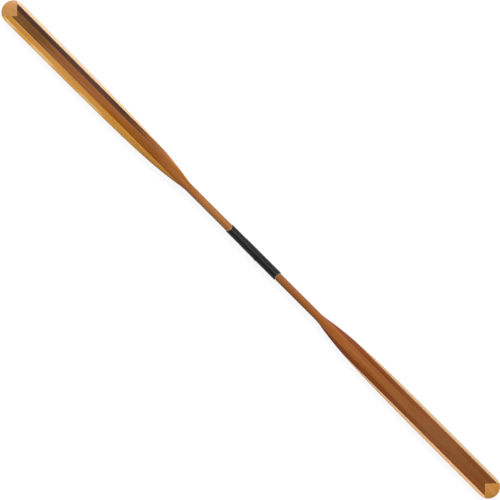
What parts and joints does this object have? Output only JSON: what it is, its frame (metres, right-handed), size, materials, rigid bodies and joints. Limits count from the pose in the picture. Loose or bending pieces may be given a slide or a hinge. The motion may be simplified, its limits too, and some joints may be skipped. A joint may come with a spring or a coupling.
{
  "type": "kayak paddle",
  "caption": "Two-piece wooden kayak paddle: slim oval shaft, long narrow laminated blades with pale edges and tips, black tube joint with a snap-button lock.",
  "frame": {"origin": "on the shaft's axis, halfway between the two blade tips", "axes": "+X along the paddle to the half that holds the socket, +Y across the blades to their upper edge, +Z out of their front face"},
  "size_m": [2.2, 0.0754, 0.032],
  "materials": {
    "left_core_wood": "oiled brown timber with straight grain",
    "left_dark_wood": "oiled dark brown timber",
    "left_golden_wood": "oiled golden timber",
    "right_core_wood": "oiled reddish brown timber with straight grain",
    "right_side_wood": "oiled red-brown timber",
    "edge_wood": "pale cream hardwood",
    "tip_wood": "golden tan hardwood",
    "epoxy": "clear honey-coloured epoxy bead",
    "black_composite": "satin black fibre composite tube",
    "seal_rubber": "matt black rubber",
    "black_plastic": "moulded black plastic",
    "button_metal": "darkened stainless steel",
    "spring_steel": "bright spring steel"
  },
  "bodies": {
    "right_half": {"right_core_stick": "right_core_wood", "right_upper_side_strip": "right_side_wood", "right_lower_side_strip": "right_side_wood", "right_upper_edge_strip": "edge_wood", "right_lower_edge_strip": "edge_wood", "right_tip_block": "tip_wood", "right_epoxy_bead": "epoxy", "ferrule_sleeve": "black_composite"},
    "seal_ring": {"joint_seal_ring": "seal_rubber"},
    "left_half": {"left_core_stick": "left_core_wood", "left_upper_side_strip": "left_dark_wood", "left_lower_side_strip": "left_golden_wood", "left_upper_edge_strip": "edge_wood", "left_lower_edge_strip": "edge_wood", "left_tip_block": "tip_wood", "left_epoxy_bead": "epoxy", "ferrule_spigot": "black_composite", "ferrule_collar": "black_composite", "spigot_end_plug": "black_plastic", "lock_spring": "spring_steel"},
    "lock_button": {"lock_button": "button_metal"}
  },
  "joints": [
    {"name": "pull_apart", "type": "slide", "parent": "right_half", "child": "seal_ring", "axis": [-1, 0, 0], "range_m": [0, 0.11], "deforming": ["lock_button"]},
    {"name": "feather_turn", "type": "hinge", "parent": "seal_ring", "child": "left_half", "pos_m": [-0.0488, 0, 0], "axis": [1, 0, 0], "range_deg": [-60, 60], "deforming": ["lock_button"]},
    {"name": "button_press", "type": "slide", "parent": "left_half", "child": "lock_button", "axis": [0, 1, 0], "range_m": [0, 0.0032], "stiffness_N_per_m": 2500, "springref_m": -0.002, "deforming": ["lock_spring"]}
  ]
}
